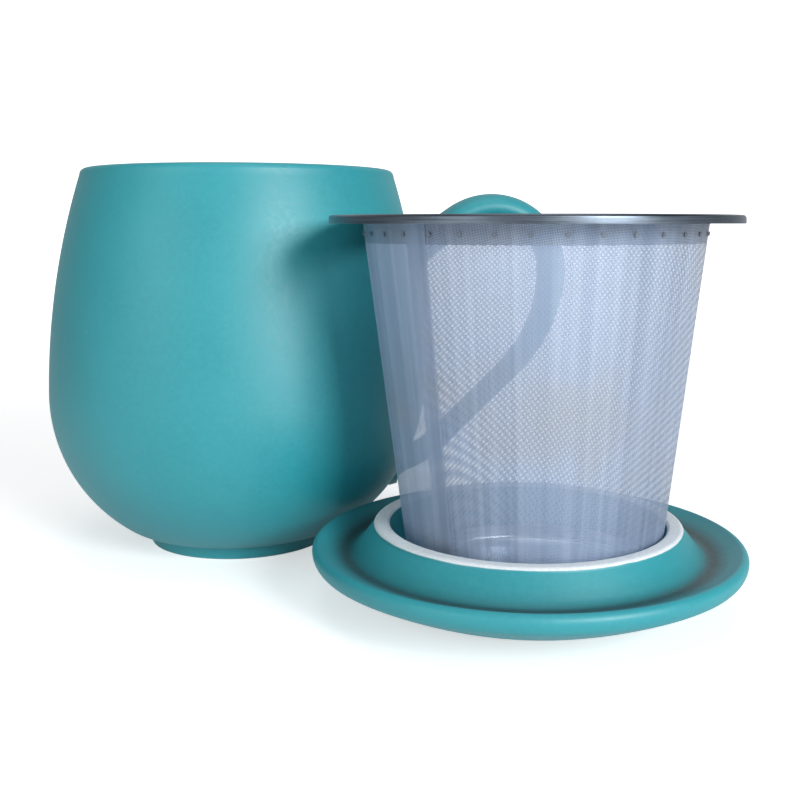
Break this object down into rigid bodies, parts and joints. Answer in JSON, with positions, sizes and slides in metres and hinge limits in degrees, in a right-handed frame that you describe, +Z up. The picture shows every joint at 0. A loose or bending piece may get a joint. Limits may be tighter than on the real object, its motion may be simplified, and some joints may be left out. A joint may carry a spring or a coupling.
{
  "type": "lidded tea mug with infuser",
  "caption": "Egg-shaped ceramic tea mug with an ear handle; its lid lies upside down beside it as a coaster and holds a steel mesh infuser basket.",
  "frame": {"origin": "on the table, under the middle of the bounding box of the whole set", "axes": "+Z up; +X from the mug towards the lid and infuser; +Y towards the back, away from the viewer of the picture"},
  "size_m": [0.1668, 0.145, 0.0966],
  "materials": {
    "teal_glaze": "matte teal glaze; bare white clay on the foot and on the lid ring's edge",
    "steel_sheet": "bright stamped sheet",
    "steel_mesh": "fine woven mesh, see-through"
  },
  "bodies": {
    "mug": {"mug_body": "teal_glaze", "mug_handle": "teal_glaze"},
    "lid": {"lid": "teal_glaze"},
    "infuser": {"infuser_rim": "steel_sheet", "infuser_mesh_wall": "steel_mesh", "infuser_base_pan": "steel_sheet", "collar_spot_welds": "steel_sheet"}
  },
  "joints": [
    {"name": "lid_lift", "type": "slide", "parent": "mug", "child": "lid", "axis": [0.5805, -0.4038, 0.7071], "range_m": [0, 0.12]},
    {"name": "infuser_lift", "type": "slide", "parent": "lid", "child": "infuser", "axis": [0, 0, 1], "range_m": [0, 0.1]}
  ]
}
